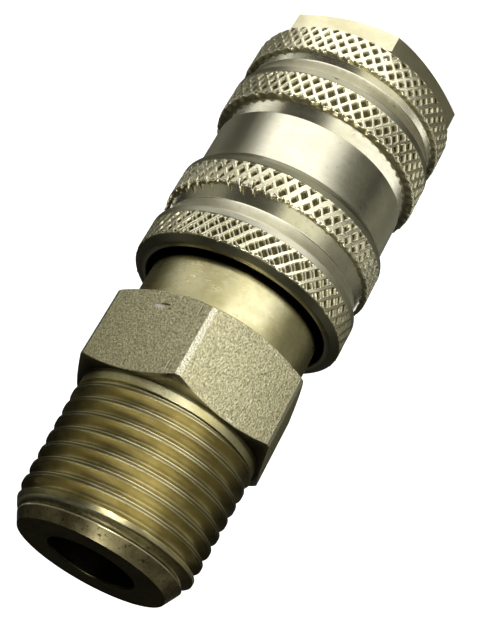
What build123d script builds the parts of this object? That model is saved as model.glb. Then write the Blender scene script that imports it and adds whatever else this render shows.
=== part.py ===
from build123d import *
import os
from math import atan, cos, degrees, pi, radians, sin, sqrt, tan

os.makedirs("parts", exist_ok=True)

# Quick coupling, female half, with a pull-back sleeve and a male taper pipe thread.
# The origin is on the axis at the nose face, and +Z runs from the nose to the thread end.
# All lengths are in millimetres and all angles in degrees.

# Socket body: nose, nipple bore and barrel
nose_hex_height = 3.27
nose_hex_turn = -13.1
barrel_radius = 9.42
barrel_end_z = 29.0
body_wall = 2.27
mouth_chamfer = 0.75
nipple_bore_depth = 16.4
ball_relief_z = 6.00
ball_relief_depth = 0.25

# Locking balls and the sleeve's travel
ball_count = 8
ball_radius = 1.5875
ball_z = 8.5
ball_lift = 0.90
sleeve_stroke = 4.2
ball_land_clearance = 0.03
ball_hole_clearance = 0.05
ball_seat_clearance = 0.035
ball_seat_depth = 0.45
ramp_lead = 0.25

# Mouth seal and its backup ring
mouth_seal_wire = 1.78
mouth_seal_squeeze = 0.10
backup_ring_thickness = 1.20
mouth_groove_z = 10.95
mouth_groove_spare = 0.27
seal_clearance = 0.04

# Release sleeve, inside
slide_clearance = 0.05
land_length = 4.45
spring_room = 1.03
skirt_bore_step = 0.60
skirt_bore_start_z = 26.0
skirt_bore_edge = 0.20

# Release sleeve, outside, from its front face to its rear face
sleeve_front_gap = 0.10
sleeve_wall = 2.45
groove_depth = 0.97
step_groove_depth = 1.50
first_grip_width = 3.72
first_groove_floor = 1.10
groove_ramp = 1.85
rim_strip = 0.85
second_grip_width = 3.45
step_groove_width = 1.95
smooth_band_width = 6.45
band_ramp = 1.10
band_strip = 0.75
third_grip_width = 3.10
third_groove_floor = 1.75
fourth_grip_width = 3.10
skirt_chamfer_length = 0.65
skirt_chamfer_depth = 0.95
grip_edge = 0.20

# Sleeve spring and the washers at its two ends
thrust_washer_thickness = 0.75
seat_washer_thickness = 1.00
washer_clearance = 0.07
washer_face_gap = 0.05
sleeve_spring_wire = 0.80
sleeve_spring_turns = 9.0

# Joint between the socket body and the adapter
body_thread_step = 0.47
body_thread_length = 6.4
body_relief_length = 0.6
pilot_step = 0.80
pilot_length = 3.0
screwed_clearance = 0.05
body_seal_wire = 0.96
body_seal_groove_spare = 0.35

# Valve
chamber_step = 0.65
poppet_flow_gap = 1.00
valve_face_width = 1.10
throat_length = 1.0
seat_length = 1.2
poppet_head_length = 1.3
poppet_seat_clearance = 0.20
poppet_tip_share = 0.545
poppet_tip_reach = 4.0
poppet_tip_edge = 0.4
poppet_seal_wire = 1.40
poppet_seal_gap = 0.05
spring_pilot_share = 0.655
spring_pilot_length = 1.5
stem_share = 0.318
stem_clearance = 0.05
stem_overhang = 1.5
valve_spring_wire = 0.80
valve_spring_fit = 0.40
valve_spring_turns = 8.0

# Valve guide
guide_thickness = 1.4
guide_face_gap = 0.05
guide_hub_wall = 1.10
guide_hub_length = 2.6
guide_rim_width = 1.25
guide_spokes = 3
spoke_width = 2.2

# Adapter
neck_gap = 0.71
neck_length = 12.75
neck_edge = 0.25
hex_land = 0.77
hex_face_step = 0.16
hex_chamfer_angle = 28.0
adapter_hex_length = 10.33
adapter_hex_turn = 30.0
collar_step = 0.23
collar_length = 1.05
thread_groove_width = 0.25
thread_groove_depth = 0.45
thread_length = 15.87
thread_crest_step = 0.15
thread_taper = 1 / 16
thread_pitch = 1.8143
thread_crest_flat = 0.40
thread_root_flat = 0.19
thread_flank_angle = 30.0
thread_lead_in = 1.988
thread_turns = 10.5
thread_cut_overshoot = 0.30
thread_end_chamfer = 2.95
thread_end_depth = 1.66
passage_step = 3.15
passage_edge = 0.15

# Worked out from the sizes above: radii, from the barrel inwards and outwards
nipple_bore_radius = barrel_radius - body_wall
ball_relief_radius = nipple_bore_radius + ball_relief_depth
body_thread_radius = barrel_radius - body_thread_step
pilot_radius = body_thread_radius - pilot_step
chamber_radius = nipple_bore_radius - chamber_step
poppet_head_radius = chamber_radius - poppet_flow_gap
throat_radius = poppet_head_radius - valve_face_width
poppet_tip_radius = throat_radius * poppet_tip_share
spring_pilot_radius = poppet_head_radius * spring_pilot_share
valve_spring_radius = spring_pilot_radius + valve_spring_fit + valve_spring_wire / 2
stem_radius = poppet_head_radius * stem_share
guide_hub_radius = stem_radius + stem_clearance + guide_hub_wall
guide_window_radius = pilot_radius - guide_rim_width
passage_radius = pilot_radius - passage_step
land_radius = barrel_radius + slide_clearance
spring_chamber_radius = barrel_radius + spring_room
skirt_bore_radius = spring_chamber_radius + skirt_bore_step
grip_radius = spring_chamber_radius + sleeve_wall
band_radius = grip_radius - groove_depth
step_groove_radius = grip_radius - step_groove_depth
neck_radius = skirt_bore_radius - neck_gap
hex_across_flats = 2 * (neck_radius + hex_land)
hex_face_radius = hex_across_flats / 2 - hex_face_step
hex_corner_radius = hex_across_flats / sqrt(3)
collar_radius = neck_radius + collar_step
thread_crest_radius = collar_radius + thread_crest_step

# Worked out from the sizes above: the locking balls, the ramp and the places along the axis
hex_chamfer_height = (hex_corner_radius - hex_face_radius) * tan(radians(hex_chamfer_angle))
sleeve_front_z = nose_hex_height + sleeve_front_gap
ball_path_radius = land_radius - ball_land_clearance - ball_radius
ramp_slope = ball_lift / sleeve_stroke
land_start_z = ball_z + ramp_lead
land_end_z = land_start_z + land_length
throat_z = nipple_bore_depth
seat_z = throat_z + throat_length
chamber_z = seat_z + chamber_radius - throat_radius
body_end_z = barrel_end_z + body_thread_length + body_relief_length + pilot_length
adapter_floor_z = body_end_z + guide_face_gap + guide_thickness
adapter_hex_z = barrel_end_z + neck_length
collar_z = adapter_hex_z + adapter_hex_length
thread_z = collar_z + collar_length
thread_end_z = thread_z + thread_length


def washer(inner_radius, outer_radius, bottom_z, thickness):
    """A flat ring about the axis."""
    with BuildPart() as ring:
        with BuildSketch(Plane.XY.offset(bottom_z)):
            Circle(outer_radius)
            Circle(inner_radius, mode=Mode.SUBTRACT)
        extrude(amount=thickness)
    return ring.part


def seal_ring(centre_radius, centre_z, wire):
    """An O-ring about the axis."""
    with BuildPart() as ring:
        with BuildSketch(Plane.XZ):
            with Locations((centre_radius, centre_z)):
                Circle(wire / 2)
        revolve(axis=Axis.Z)
    return ring.part


def coil_spring(coil_radius, bottom_z, top_z, turns, wire):
    """A compression spring with both ends ground flat."""
    pitch = (top_z - bottom_z) / turns
    with BuildPart() as coil:
        with BuildLine(Plane.XY.offset(bottom_z)) as path:
            Helix(pitch=pitch, height=top_z - bottom_z, radius=coil_radius)
        with BuildSketch(Plane(origin=path.line @ 0, z_dir=path.line % 0)):
            Circle(wire / 2)
        sweep(is_frenet=True)
        split(bisect_by=Plane.XY.offset(bottom_z), keep=Keep.TOP)
        split(bisect_by=Plane.XY.offset(top_z), keep=Keep.BOTTOM)
    return coil.part


def hexagon_bar(bottom_z, length, turn, chamfer_both_ends):
    """Hexagon bar with its corners turned back in a cone at one end or at both."""
    top_z = bottom_z + length
    turned = [(0, bottom_z), (hex_face_radius, bottom_z), (hex_corner_radius, bottom_z + hex_chamfer_height)]
    if chamfer_both_ends:
        turned += [(hex_corner_radius, top_z - hex_chamfer_height), (hex_face_radius, top_z)]
    else:
        turned += [(hex_corner_radius, top_z)]
    turned += [(0, top_z)]
    with BuildPart() as bar:
        with BuildSketch(Plane.XY.offset(bottom_z)):
            RegularPolygon(hex_across_flats / 2, 6, major_radius=False, rotation=turn)
        extrude(amount=length)
        with BuildSketch(Plane.XZ):
            with BuildLine():
                Polyline(*turned, close=True)
            make_face()
        revolve(axis=Axis.Z, mode=Mode.INTERSECT)
    return bar.part


def circles_of(part, radius, low_z, high_z):
    """The part's full circles of one radius between two heights."""
    rings = part.edges().filter_by(GeomType.CIRCLE)
    rings = rings.filter_by(lambda ring: abs(ring.radius - radius) < 1e-4)
    return rings.filter_by(lambda ring: low_z < ring.center().Z < high_z)


# Socket body: hexagon nose, barrel, screwed tail and the bore with its valve seat
seal_outer_radius = nipple_bore_radius - mouth_seal_squeeze + mouth_seal_wire
mouth_groove_radius = seal_outer_radius + seal_clearance
mouth_groove_width = backup_ring_thickness + mouth_seal_wire + mouth_groove_spare
body_seal_radius = pilot_radius + screwed_clearance - body_seal_wire / 2
body_groove_radius = body_seal_radius - body_seal_wire / 2
body_groove_width = body_seal_wire + body_seal_groove_spare
body_groove_z = body_end_z - pilot_length / 2 - body_groove_width / 2
thread_stop_z = barrel_end_z + body_thread_length
pilot_z = thread_stop_z + body_relief_length
relief_radius = pilot_radius - screwed_clearance
nose_bar = hexagon_bar(0, nose_hex_height, adapter_hex_turn + nose_hex_turn, False)

with BuildPart() as socket_body:
    add(nose_bar)
    with BuildSketch(Plane.XZ):
        with BuildLine():
            Polyline(
                (0, nose_hex_height),
                (barrel_radius, nose_hex_height),
                (barrel_radius, barrel_end_z),
                (body_thread_radius, barrel_end_z),
                (body_thread_radius, thread_stop_z),
                (relief_radius, thread_stop_z),
                (relief_radius, pilot_z),
                (pilot_radius, pilot_z),
                (pilot_radius, body_groove_z),
                (body_groove_radius, body_groove_z),
                (body_groove_radius, body_groove_z + body_groove_width),
                (pilot_radius, body_groove_z + body_groove_width),
                (pilot_radius, body_end_z),
                (0, body_end_z),
                close=True,
            )
        make_face()
    revolve(axis=Axis.Z)
    # Bore: lead-in, nipple bore with its relief at the balls and its seal groove, throat, valve seat
    # and chamber
    with BuildSketch(Plane.XZ):
        with BuildLine():
            Polyline(
                (0, 0),
                (nipple_bore_radius + mouth_chamfer, 0),
                (nipple_bore_radius, mouth_chamfer),
                (nipple_bore_radius, ball_relief_z),
                (ball_relief_radius, ball_relief_z),
                (ball_relief_radius, mouth_groove_z),
                (mouth_groove_radius, mouth_groove_z),
                (mouth_groove_radius, mouth_groove_z + mouth_groove_width),
                (nipple_bore_radius, mouth_groove_z + mouth_groove_width),
                (nipple_bore_radius, nipple_bore_depth),
                (throat_radius, throat_z),
                (throat_radius, seat_z),
                (chamber_radius, chamber_z),
                (chamber_radius, body_end_z),
                (0, body_end_z),
                close=True,
            )
        make_face()
    revolve(axis=Axis.Z, mode=Mode.SUBTRACT)
    # Ball holes, each with a conical lip at the bore that keeps its ball from falling through
    hole_radius = ball_radius + ball_hole_clearance
    lip_depth = ball_path_radius - ball_relief_radius
    lip_radius = sqrt(ball_radius**2 - lip_depth**2) + ball_seat_clearance
    lip_inner_radius = ball_relief_radius - ball_seat_depth
    lip_narrowing = (hole_radius - lip_radius) / ball_seat_depth
    for number in range(ball_count):
        outward = Plane.XY.rotated((0, 0, 360 * number / ball_count))
        radial = Plane(
            origin=outward.x_dir * (ball_relief_radius + ball_seat_depth) + Vector(0, 0, ball_z),
            z_dir=outward.x_dir,
        )
        with BuildSketch(radial):
            Circle(hole_radius)
        extrude(amount=barrel_radius - ball_relief_radius, mode=Mode.SUBTRACT)
        with BuildSketch(radial):
            Circle(hole_radius)
        with BuildSketch(radial.offset(lip_inner_radius - ball_relief_radius - ball_seat_depth)):
            Circle(lip_radius - lip_narrowing * ball_seat_depth)
        loft(mode=Mode.SUBTRACT)
socket_body.part.label = "socket_body"
export_step(socket_body.part, "parts/socket_body.step")

# Release sleeve: knurled bands, grooves, smooth band and skirt outside; ball ramp, land,
# spring chamber and skirt bore inside
first_groove_z = sleeve_front_z + first_grip_width
second_grip_z = first_groove_z + first_groove_floor + groove_ramp + rim_strip
step_groove_z = second_grip_z + second_grip_width
smooth_band_z = step_groove_z + step_groove_width
band_ramp_z = smooth_band_z + smooth_band_width
third_grip_z = band_ramp_z + band_ramp + band_strip
third_groove_z = third_grip_z + third_grip_width
third_ramp_z = third_groove_z + third_groove_floor
fourth_grip_z = third_ramp_z + groove_ramp + rim_strip
skirt_chamfer_z = fourth_grip_z + fourth_grip_width
sleeve_rear_z = skirt_chamfer_z + skirt_chamfer_length
ramp_mouth_radius = land_radius + (land_start_z - sleeve_front_z) * ramp_slope

with BuildPart() as release_sleeve:
    with BuildSketch(Plane.XZ):
        with BuildLine():
            Polyline(
                (ramp_mouth_radius, sleeve_front_z),
                (grip_radius, sleeve_front_z),
                (grip_radius, first_groove_z),
                (band_radius, first_groove_z),
                (band_radius, first_groove_z + first_groove_floor),
                (grip_radius, second_grip_z - rim_strip),
                (grip_radius, step_groove_z),
                (step_groove_radius, step_groove_z),
                (step_groove_radius, smooth_band_z),
                (band_radius, smooth_band_z),
                (band_radius, band_ramp_z),
                (grip_radius, band_ramp_z + band_ramp),
                (grip_radius, third_groove_z),
                (band_radius, third_groove_z),
                (band_radius, third_ramp_z),
                (grip_radius, third_ramp_z + groove_ramp),
                (grip_radius, skirt_chamfer_z),
                (grip_radius - skirt_chamfer_depth, sleeve_rear_z),
                (skirt_bore_radius, sleeve_rear_z),
                (skirt_bore_radius, skirt_bore_start_z),
                (spring_chamber_radius, skirt_bore_start_z),
                (spring_chamber_radius, land_end_z),
                (land_radius, land_end_z),
                (land_radius, land_start_z),
                close=True,
            )
        make_face()
    revolve(axis=Axis.Z)
    chamfer(circles_of(release_sleeve.part, grip_radius, 0, skirt_chamfer_z - grip_edge), grip_edge)
    chamfer(circles_of(release_sleeve.part, band_radius, step_groove_z, band_ramp_z - grip_edge), grip_edge)
    chamfer(circles_of(release_sleeve.part, skirt_bore_radius, skirt_chamfer_z, thread_end_z), skirt_bore_edge)
release_sleeve.part.label = "release_sleeve"
export_step(release_sleeve.part, "parts/release_sleeve.step")

# Locking balls, held in the body's holes by the sleeve's land
for number in range(ball_count):
    turn = 2 * pi * number / ball_count
    with BuildPart() as ball:
        with Locations((ball_path_radius * cos(turn), ball_path_radius * sin(turn), ball_z)):
            Sphere(ball_radius)
    ball.part.label = f"ball_{number + 1}"
    export_step(ball.part, f"parts/ball_{number + 1}.step")

# Washers at the two ends of the sleeve spring
washer_inner_radius = barrel_radius + washer_clearance
washer_outer_radius = spring_chamber_radius - washer_clearance
thrust_washer_z = land_end_z + washer_face_gap
seat_washer_z = barrel_end_z - seat_washer_thickness

thrust_washer = washer(washer_inner_radius, washer_outer_radius, thrust_washer_z, thrust_washer_thickness)
thrust_washer.label = "thrust_washer"
export_step(thrust_washer, "parts/thrust_washer.step")

spring_seat_washer = washer(washer_inner_radius, washer_outer_radius, seat_washer_z, seat_washer_thickness)
spring_seat_washer.label = "spring_seat_washer"
export_step(spring_seat_washer, "parts/spring_seat_washer.step")

# Sleeve spring, around the barrel
sleeve_spring_radius = (washer_inner_radius + washer_outer_radius) / 2
sleeve_spring = coil_spring(
    sleeve_spring_radius,
    thrust_washer_z + thrust_washer_thickness,
    seat_washer_z,
    sleeve_spring_turns,
    sleeve_spring_wire,
)
sleeve_spring.label = "sleeve_spring"
export_step(sleeve_spring, "parts/sleeve_spring.step")

# Mouth seal and the plain ring that backs it
backup_ring_z = mouth_groove_z + seal_clearance
mouth_seal_z = backup_ring_z + backup_ring_thickness + seal_clearance + mouth_seal_wire / 2
mouth_seal = seal_ring(seal_outer_radius - mouth_seal_wire / 2, mouth_seal_z, mouth_seal_wire)
mouth_seal.label = "mouth_seal"
export_step(mouth_seal, "parts/mouth_seal.step")

backup_ring = washer(
    nipple_bore_radius + seal_clearance, seal_outer_radius, backup_ring_z, backup_ring_thickness
)
backup_ring.label = "backup_ring"
export_step(backup_ring, "parts/backup_ring.step")

# Seal between the socket body's tail and the adapter
body_seal = seal_ring(body_seal_radius, body_end_z - pilot_length / 2, body_seal_wire)
body_seal.label = "body_seal"
export_step(body_seal, "parts/body_seal.step")

# Valve poppet: tip for the nipple, cone with its seal groove, spring pilot and stem
cone_setback = poppet_seat_clearance * sqrt(2)
poppet_front_radius = throat_radius - cone_setback
head_z = seat_z + poppet_head_radius - poppet_front_radius
head_end_z = head_z + poppet_head_length
stem_z = head_end_z + spring_pilot_length
stem_end_z = adapter_floor_z + stem_overhang
tip_z = throat_z - poppet_tip_reach
seal_along_cone = seat_z + seat_length / 2
seal_setback = (poppet_seal_wire / 2 + poppet_seal_gap) / sqrt(2)
poppet_seal_radius = throat_radius + seat_length / 2 - seal_setback
poppet_seal_z = seal_along_cone + seal_setback

with BuildPart() as valve_poppet:
    with BuildSketch(Plane.XZ):
        with BuildLine():
            Polyline(
                (0, tip_z),
                (poppet_tip_radius - poppet_tip_edge, tip_z),
                (poppet_tip_radius, tip_z + poppet_tip_edge),
                (poppet_tip_radius, throat_z),
                (poppet_front_radius, seat_z),
                (poppet_head_radius, head_z),
                (poppet_head_radius, head_end_z),
                (spring_pilot_radius, head_end_z),
                (spring_pilot_radius, stem_z),
                (stem_radius, stem_z),
                (stem_radius, stem_end_z),
                (0, stem_end_z),
                close=True,
            )
        make_face()
    revolve(axis=Axis.Z)
    with BuildSketch(Plane.XZ):
        with Locations((poppet_seal_radius, poppet_seal_z)):
            Circle(poppet_seal_wire / 2)
    revolve(axis=Axis.Z, mode=Mode.SUBTRACT)
valve_poppet.part.label = "valve_poppet"
export_step(valve_poppet.part, "parts/valve_poppet.step")

poppet_seal = seal_ring(poppet_seal_radius, poppet_seal_z, poppet_seal_wire)
poppet_seal.label = "poppet_seal"
export_step(poppet_seal, "parts/poppet_seal.step")

# Valve guide: a spoked disc with a long hub, held between the body's tail and the adapter
guide_z = body_end_z + guide_face_gap
with BuildPart() as valve_guide:
    with BuildSketch(Plane.XY.offset(guide_z)):
        Circle(pilot_radius)
        Circle(guide_window_radius, mode=Mode.SUBTRACT)
        with PolarLocations(0, guide_spokes):
            Rectangle(guide_window_radius, spoke_width, align=(Align.MIN, Align.CENTER))
    extrude(amount=guide_thickness)
    with BuildSketch(Plane.XY.offset(guide_z - guide_hub_length)):
        Circle(guide_hub_radius)
    extrude(amount=guide_hub_length + guide_thickness)
    with BuildSketch(Plane.XY.offset(guide_z - guide_hub_length)):
        Circle(stem_radius + stem_clearance)
    extrude(amount=guide_hub_length + guide_thickness, mode=Mode.SUBTRACT)
valve_guide.part.label = "valve_guide"
export_step(valve_guide.part, "parts/valve_guide.step")

# Valve spring, from the poppet's head to the guide's spokes
valve_spring = coil_spring(
    valve_spring_radius, head_end_z, guide_z, valve_spring_turns, valve_spring_wire
)
valve_spring.label = "valve_spring"
export_step(valve_spring, "parts/valve_spring.step")

# Taper thread of the adapter, cut as one helical groove in a longer cone whose ends are then turned off
thread_start_z = thread_z + thread_groove_width
thread_chamfer_z = thread_end_z - thread_end_chamfer
taper_per_side = thread_taper / 2
thread_cut_z = thread_start_z - thread_lead_in
blank_low_z = thread_cut_z - thread_pitch
blank_high_z = thread_cut_z + (thread_turns + 1) * thread_pitch
cut_radius = thread_crest_radius + thread_lead_in * taper_per_side
flank_run = tan(radians(thread_flank_angle))
crest_half_gap = (thread_pitch - thread_crest_flat) / 2
outer_half_gap = crest_half_gap + thread_cut_overshoot * flank_run
root_half_gap = thread_root_flat / 2
thread_depth = (crest_half_gap - root_half_gap) / flank_run
thread_small_radius = thread_crest_radius - (thread_chamfer_z - thread_start_z) * taper_per_side
thread_end_radius = thread_small_radius - thread_end_depth

with BuildPart() as threaded_end:
    with BuildSketch(Plane.XZ):
        with BuildLine():
            Polyline(
                (0, blank_low_z),
                (thread_crest_radius + (thread_start_z - blank_low_z) * taper_per_side, blank_low_z),
                (thread_crest_radius + (thread_start_z - blank_high_z) * taper_per_side, blank_high_z),
                (0, blank_high_z),
                close=True,
            )
        make_face()
    revolve(axis=Axis.Z)
    with BuildLine(Plane.XY.offset(thread_cut_z)) as spiral:
        Helix(
            pitch=thread_pitch,
            height=thread_pitch * thread_turns,
            radius=cut_radius,
            cone_angle=-degrees(atan(taper_per_side)),
        )
    with BuildSketch(Plane(origin=spiral.line @ 0, x_dir=(1, 0, 0), z_dir=spiral.line % 0)):
        with BuildLine():
            Polyline(
                (thread_cut_overshoot, -outer_half_gap),
                (thread_cut_overshoot, outer_half_gap),
                (-thread_depth, root_half_gap),
                (-thread_depth, -root_half_gap),
                close=True,
            )
        make_face()
    sweep(path=spiral.line, is_frenet=True, mode=Mode.SUBTRACT)
    with BuildSketch(Plane.XZ):
        with BuildLine():
            Polyline(
                (0, thread_start_z),
                (thread_crest_radius, thread_start_z),
                (thread_small_radius, thread_chamfer_z),
                (thread_end_radius, thread_end_z),
                (0, thread_end_z),
                close=True,
            )
        make_face()
    revolve(axis=Axis.Z, mode=Mode.INTERSECT)

# Adapter: neck, wrench hexagon, collar and taper thread outside; screwed socket and passage inside
hex_middle_z = (adapter_hex_z + collar_z) / 2
floor_cone_radius = guide_window_radius + screwed_clearance
floor_cone_end_z = adapter_floor_z + floor_cone_radius - passage_radius
adapter_bar = hexagon_bar(adapter_hex_z, adapter_hex_length, adapter_hex_turn, True)

with BuildPart() as adapter:
    add(adapter_bar)
    with BuildSketch(Plane.XZ):
        with BuildLine():
            Polyline(
                (0, barrel_end_z),
                (neck_radius - neck_edge, barrel_end_z),
                (neck_radius, barrel_end_z + neck_edge),
                (neck_radius, hex_middle_z),
                (collar_radius, hex_middle_z),
                (collar_radius, thread_z),
                (collar_radius - thread_groove_depth, thread_z),
                (collar_radius - thread_groove_depth, thread_start_z),
                (0, thread_start_z),
                close=True,
            )
        make_face()
    revolve(axis=Axis.Z)
    add(threaded_end.part)
    # Socket for the body's screwed tail, cone behind the valve guide and the through passage
    with BuildSketch(Plane.XZ):
        with BuildLine():
            Polyline(
                (0, barrel_end_z),
                (body_thread_radius + screwed_clearance, barrel_end_z),
                (body_thread_radius + screwed_clearance, pilot_z),
                (pilot_radius + screwed_clearance, pilot_z),
                (pilot_radius + screwed_clearance, adapter_floor_z),
                (floor_cone_radius, adapter_floor_z),
                (passage_radius, floor_cone_end_z),
                (passage_radius, thread_end_z - passage_edge),
                (passage_radius + passage_edge, thread_end_z),
                (0, thread_end_z),
                close=True,
            )
        make_face()
    revolve(axis=Axis.Z, mode=Mode.SUBTRACT)
adapter.part.label = "adapter"
export_step(adapter.part, "parts/adapter.step")
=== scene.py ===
# Quick coupling, female half, with a pull-back sleeve and a male taper pipe thread, dressed over its
# CAD frame. It stands on its nose: the axis is Z, the nose face is at z = 0, and the thread is on top.
from math import atan2, cos, pi, radians, sin, sqrt, tan

import bmesh
import bpy
import numpy as np
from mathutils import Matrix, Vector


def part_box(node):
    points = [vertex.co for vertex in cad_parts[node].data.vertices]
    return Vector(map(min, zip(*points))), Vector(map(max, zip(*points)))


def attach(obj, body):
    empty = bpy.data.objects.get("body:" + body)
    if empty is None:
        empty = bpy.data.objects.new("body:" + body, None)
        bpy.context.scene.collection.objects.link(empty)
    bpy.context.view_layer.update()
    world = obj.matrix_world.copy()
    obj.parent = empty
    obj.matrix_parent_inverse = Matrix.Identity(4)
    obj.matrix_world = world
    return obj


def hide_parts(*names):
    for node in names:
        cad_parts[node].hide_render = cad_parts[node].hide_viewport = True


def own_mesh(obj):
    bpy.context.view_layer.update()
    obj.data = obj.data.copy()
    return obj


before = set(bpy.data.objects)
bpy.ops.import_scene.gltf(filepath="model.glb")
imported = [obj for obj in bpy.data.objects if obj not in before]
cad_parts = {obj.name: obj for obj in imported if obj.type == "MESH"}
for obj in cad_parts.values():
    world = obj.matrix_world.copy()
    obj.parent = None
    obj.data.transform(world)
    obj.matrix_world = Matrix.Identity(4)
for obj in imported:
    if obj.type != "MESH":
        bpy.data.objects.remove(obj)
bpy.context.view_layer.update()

scene = bpy.context.scene
mm = 0.001

# Camera: a long lens 16 cm from the part's middle, on the side of the thread end and turned over, so that
# the nose points to the upper right of the picture.
camera_place = (-19.088, -140.648, 104.297)
camera_turn = (-60.863, 26.037, -173.439)

camera_data = bpy.data.cameras.new("camera")
camera_data.sensor_fit = "AUTO"
camera_data.sensor_width = 36.0
camera_data.lens = 80.40
camera_data.clip_start = 0.005
camera_data.clip_end = 20.0
camera = bpy.data.objects.new("camera", camera_data)
camera.location = [mm * v for v in camera_place]
camera.rotation_euler = [radians(v) for v in camera_turn]
scene.collection.objects.link(camera)
scene.camera = camera
scene.view_settings.view_transform = "Standard"


# Studio: a white table under a white tent, with two soft boxes. Grey rings lie on the table, and low walls
# and cards stand round it. Only the metal shows them, as its dark sides with a bright window between them.
def seen(red, green, blue, alpha=1.0):
    """A colour by its value on screen, 0 to 255 a channel."""
    channels = [v / 255 for v in (red, green, blue)]
    return tuple(v / 12.92 if v <= 0.04045 else ((v + 0.055) / 1.055) ** 2.4 for v in channels) + (alpha,)


def put(tree, kind, ins=None, **settings):
    """One node, with its settings, its sockets' values and what is linked into them."""
    made = tree.nodes.new(kind)
    for name, value in settings.items():
        setattr(made, name, value)
    for name, value in (ins or {}).items():
        if isinstance(value, bpy.types.NodeSocket):
            tree.links.new(value, made.inputs[name])
        else:
            made.inputs[name].default_value = value
    return made


def bare_material(name):
    """A material with nothing in it but its output."""
    material = bpy.data.materials.new(name)
    material.use_nodes = True
    material.node_tree.nodes.clear()
    return material, material.node_tree, material.node_tree.nodes.new("ShaderNodeOutputMaterial")


def seen_directly(tree):
    """1 for what the camera, the metal and the glass see, 0 for what lights the part."""
    rays = put(tree, "ShaderNodeLightPath").outputs
    direct = rays["Is Camera Ray"]
    for ray in ("Is Glossy Ray", "Is Transmission Ray"):
        direct = put(tree, "ShaderNodeMath", {0: direct, 1: rays[ray]}, operation="MAXIMUM").outputs[0]
    return direct


table_reach = 3.0
table_top = -0.00005
table_corners = [(-1, -1), (1, -1), (1, 1), (-1, 1)]
table_mesh = bpy.data.meshes.new("table")
table_mesh.from_pydata(
    [(x * table_reach, y * table_reach, table_top) for x, y in table_corners], [], [(0, 1, 2, 3)]
)
table = bpy.data.objects.new("table", table_mesh)
scene.collection.objects.link(table)
material, tree, end = bare_material("white_table")
lit = put(tree, "ShaderNodeBsdfDiffuse", {"Color": seen(236, 236, 234)})
glow = put(tree, "ShaderNodeEmission", {"Color": (1, 1, 1, 1), "Strength": 0.80})
both = put(tree, "ShaderNodeAddShader", {0: lit.outputs[0], 1: glow.outputs[0]})
table_mix = put(tree, "ShaderNodeMixShader", {0: seen_directly(tree), 1: lit.outputs[0], 2: both.outputs[0]})
tree.links.new(table_mix.outputs[0], end.inputs["Surface"])
table_mesh.materials.append(material)

tent = bpy.data.worlds.new("tent")
tent.use_nodes = True
scene.world = tent
tree = tent.node_tree
tree.nodes.clear()
tent_shade = put(
    tree, "ShaderNodeMix", {0: seen_directly(tree), 6: seen(205, 206, 208), 7: (1, 1, 1, 1)}, data_type="RGBA"
)
tent_sky = put(tree, "ShaderNodeBackground", {"Color": tent_shade.outputs[2], "Strength": 1.0})
tree.links.new(tent_sky.outputs[0], put(tree, "ShaderNodeOutputWorld").inputs["Surface"])


part_middle = np.array([0, 0, 0.03])


def lamp(name, azimuth, elevation, distance, width, height, power, colour):
    """A soft box that faces the part's middle."""
    light = bpy.data.lights.new(name, "AREA")
    light.shape = "RECTANGLE"
    light.size, light.size_y = width, height
    light.energy = power
    light.color = colour
    lamp_object = bpy.data.objects.new(name, light)
    a, e = radians(azimuth), radians(elevation)
    away = np.array([cos(a) * cos(e), sin(a) * cos(e), sin(e)])
    lamp_object.location = away * distance + part_middle
    lamp_object.rotation_euler = (radians(90 - elevation), 0, radians(azimuth + 90))
    scene.collection.objects.link(lamp_object)


lamp("key", azimuth=-92, elevation=50, distance=0.36, width=0.10, height=0.10, power=0.36,
     colour=(1.0, 0.985, 0.95))
lamp("fill", azimuth=-150, elevation=30, distance=0.40, width=0.20, height=0.20, power=0.16,
     colour=(1.0, 0.99, 0.97))


def on_mesh(tree, name):
    """A value that the mesh holds at each of its points."""
    return put(tree, "ShaderNodeAttribute", attribute_name=name).outputs["Fac"]


card_paint, tree, end = bare_material("card_paint")
paint = put(tree, "ShaderNodeEmission", {"Color": (1.0, 0.99, 0.80, 1.0), "Strength": on_mesh(tree, "level")})
clear = put(tree, "ShaderNodeBsdfTransparent")
card_mix = put(
    tree, "ShaderNodeMixShader", {0: on_mesh(tree, "cover"), 1: clear.outputs[0], 2: paint.outputs[0]}
)
tree.links.new(card_mix.outputs[0], end.inputs["Surface"])


def card(name, low, high, stations):
    """A card bent round the axis, seen only in the metal. Its edges are (radius, height) in millimetres. A
    station is an azimuth, the card's shade there on screen, and how much it hides of what is behind it."""
    columns = 181
    azimuths, shades, covers = np.array(stations, float).T
    turns = np.linspace(azimuths[0], azimuths[-1], columns)
    spots = [
        (r * mm * cos(radians(t)), r * mm * sin(radians(t)), z * mm) for r, z in (low, high) for t in turns
    ]
    faces = [(i, i + 1, i + columns + 1, i + columns) for i in range(columns - 1)]
    mesh = bpy.data.meshes.new(name)
    mesh.from_pydata(spots, [], faces)
    values = {
        "level": [seen(v, v, v)[0] for v in np.interp(turns, azimuths, shades)],
        "cover": list(np.interp(turns, azimuths, covers)),
    }
    for title, along_edge in values.items():
        mesh.attributes.new(title, "FLOAT", "POINT").data.foreach_set("value", along_edge * 2)
    mesh.materials.append(card_paint)
    made = bpy.data.objects.new(name, mesh)
    scene.collection.objects.link(made)
    made.visible_camera = False
    made.visible_diffuse = False
    made.visible_shadow = False
    made.visible_transmission = False


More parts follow.
